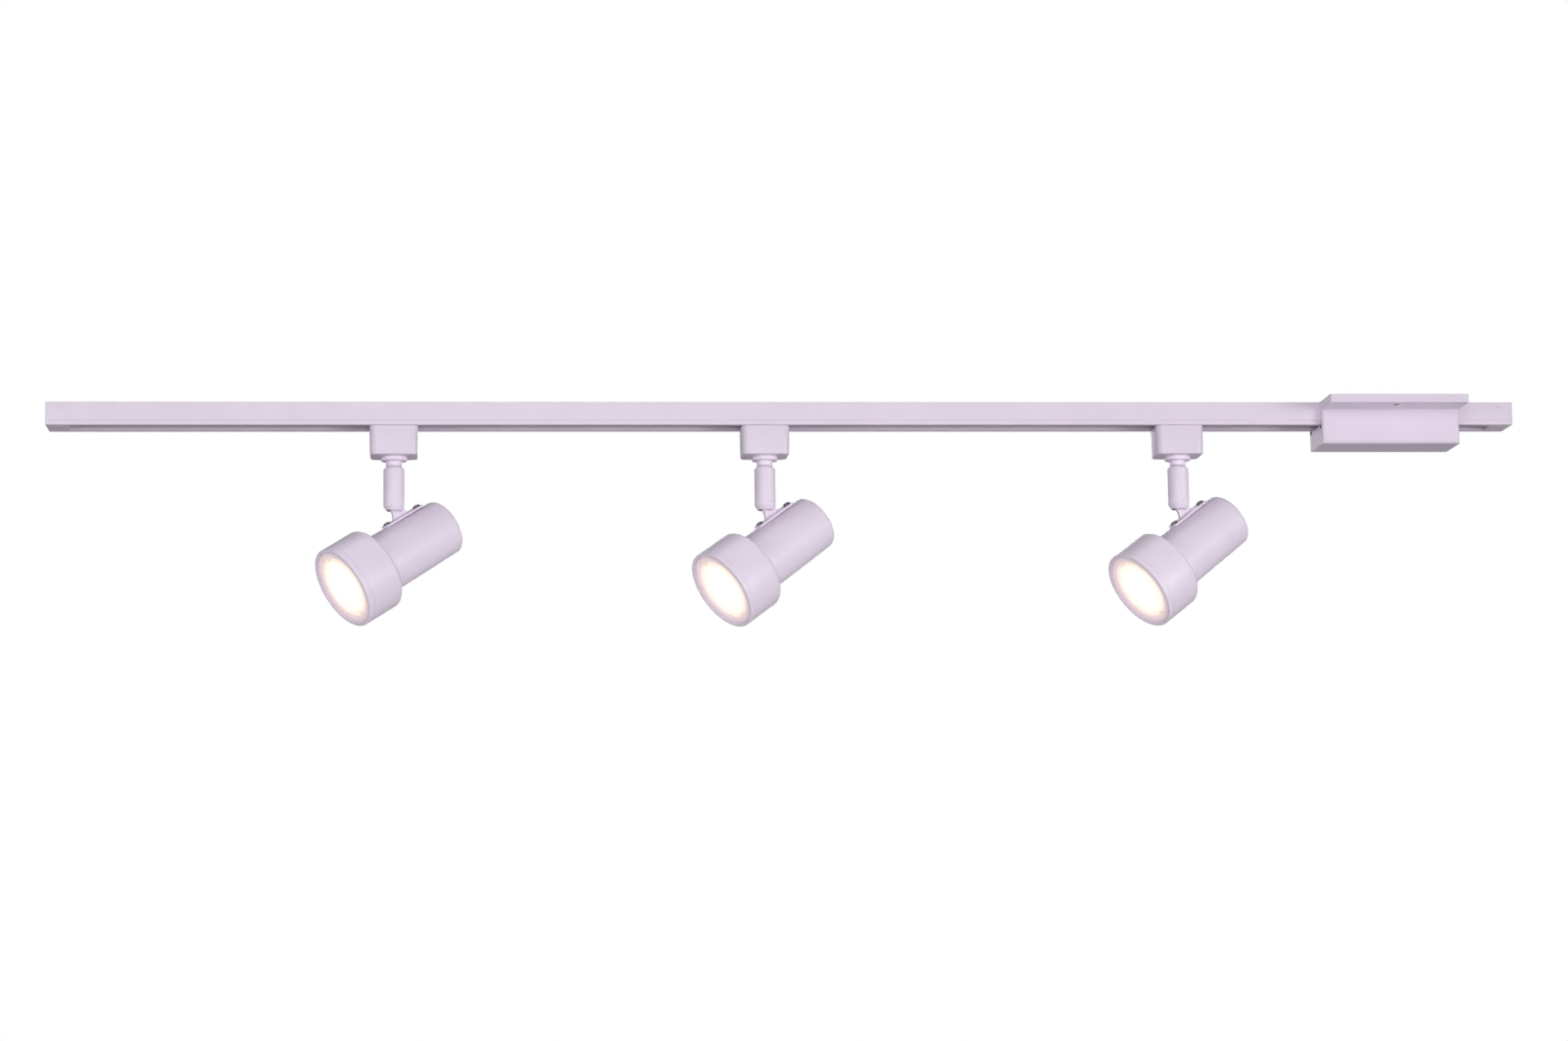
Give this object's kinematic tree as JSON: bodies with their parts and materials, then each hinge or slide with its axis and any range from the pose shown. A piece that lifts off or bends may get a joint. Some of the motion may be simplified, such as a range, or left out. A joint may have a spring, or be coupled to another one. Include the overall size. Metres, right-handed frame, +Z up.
{
  "type": "track lighting fixture",
  "caption": "Straight white ceiling lighting track with a square power-feed canopy and round lamp heads that slide along it, swivel on a stem and tilt",
  "frame": {"origin": "middle of the track's top face, in the ceiling plane", "axes": "+X along the track from the left end towards the canopy's end, +Y to the rear, +Z up"},
  "size_m": [1.2192, 0.113, 0.1864],
  "materials": {
    "white_paint": "satin white powder coat",
    "white_plastic": "fine matt white moulding",
    "grey_pvc": "extruded grey insulation",
    "copper": "drawn copper, slightly dulled",
    "brass": "rolled spring brass",
    "black_plastic": "moulded insulating plastic",
    "bright_steel": "zinc plated steel",
    "dark_steel": "blackened steel",
    "black_lead": "smooth insulated wire",
    "white_lead": "smooth insulated wire",
    "green_lead": "smooth insulated wire",
    "lamp_glass": "frosted reflector and white base",
    "ceramic": "unglazed lampholder ceramic",
    "lit_lens": "lit frosted glass"
  },
  "bodies": {
    "track": {"track_channel": "white_paint", "track_insulators": "grey_pvc", "bus_bars": "copper", "ground_bar": "copper", "end_cap_left": "white_plastic", "end_cap_right": "white_plastic", "end_cap_screws": "white_paint", "canopy_cover": "white_plastic", "feed_block": "black_plastic", "feed_contacts": "brass", "feed_screws": "bright_steel", "feed_lead_live": "black_lead", "feed_lead_neutral": "white_lead", "feed_lead_ground": "green_lead"},
    "head_1_adapter": {"adapter_case_1": "white_plastic", "adapter_turret_1": "black_plastic", "adapter_contacts_1": "brass", "swivel_collar_1": "white_paint"},
    "head_1_stem": {"stem_1": "white_paint", "pivot_pin_1": "white_paint"},
    "head_1_lamp": {"tilt_bracket_1": "white_paint", "bracket_screws_1": "dark_steel", "barrel_1": "white_paint", "front_cup_1": "white_paint", "retaining_ring_1": "white_paint", "bulb_1": "lamp_glass", "bulb_lens_1": "lit_lens", "lamp_holder_1": "ceramic", "holder_strap_1": "bright_steel"},
    "head_2_adapter": {"adapter_case_2": "white_plastic", "adapter_turret_2": "black_plastic", "adapter_contacts_2": "brass", "swivel_collar_2": "white_paint"},
    "head_2_stem": {"stem_2": "white_paint", "pivot_pin_2": "white_paint"},
    "head_2_lamp": {"tilt_bracket_2": "white_paint", "bracket_screws_2": "dark_steel", "barrel_2": "white_paint", "front_cup_2": "white_paint", "retaining_ring_2": "white_paint", "bulb_2": "lamp_glass", "bulb_lens_2": "lit_lens", "lamp_holder_2": "ceramic", "holder_strap_2": "bright_steel"},
    "head_3_adapter": {"adapter_case_3": "white_plastic", "adapter_turret_3": "black_plastic", "adapter_contacts_3": "brass", "swivel_collar_3": "white_paint"},
    "head_3_stem": {"stem_3": "white_paint", "pivot_pin_3": "white_paint"},
    "head_3_lamp": {"tilt_bracket_3": "white_paint", "bracket_screws_3": "dark_steel", "barrel_3": "white_paint", "front_cup_3": "white_paint", "retaining_ring_3": "white_paint", "bulb_3": "lamp_glass", "bulb_lens_3": "lit_lens", "lamp_holder_3": "ceramic", "holder_strap_3": "bright_steel"}
  },
  "joints": [
    {"name": "head_1_slide", "type": "slide", "parent": "track", "child": "head_1_adapter", "axis": [1, 0, 0], "range_m": [-0.245, 0.065]},
    {"name": "head_1_pan", "type": "hinge", "parent": "head_1_adapter", "child": "head_1_stem", "pos_m": [-0.3274, 0, -0.07], "axis": [0, 0, 1], "range_deg": [-203.3, 146.7]},
    {"name": "head_1_tilt", "type": "hinge", "parent": "head_1_stem", "child": "head_1_lamp", "pos_m": [-0.3274, 0, -0.0829], "axis": [0.4741, -0.8805, 0], "range_deg": [-31.3, 58.7]},
    {"name": "head_2_slide", "type": "slide", "parent": "track", "child": "head_2_adapter", "axis": [1, 0, 0], "range_m": [-0.065, 0.085]},
    {"name": "head_2_pan", "type": "hinge", "parent": "head_2_adapter", "child": "head_2_stem", "pos_m": [-0.0213, 0, -0.07], "axis": [0, 0, 1], "range_deg": [-200.5, 149.5]},
    {"name": "head_2_tilt", "type": "hinge", "parent": "head_2_stem", "child": "head_2_lamp", "pos_m": [-0.0213, 0, -0.0829], "axis": [0.4305, -0.9026, 0], "range_deg": [-34.6, 55.4]},
    {"name": "head_3_slide", "type": "slide", "parent": "track", "child": "head_3_adapter", "axis": [1, 0, 0], "range_m": [-0.085, 0.09]},
    {"name": "head_3_pan", "type": "hinge", "parent": "head_3_adapter", "child": "head_3_stem", "pos_m": [0.3261, 0, -0.07], "axis": [0, 0, 1], "range_deg": [-195.5, 154.5]},
    {"name": "head_3_tilt", "type": "hinge", "parent": "head_3_stem", "child": "head_3_lamp", "pos_m": [0.3261, 0, -0.0829], "axis": [0.3502, -0.9367, 0], "range_deg": [-35.8, 54.2]}
  ]
}
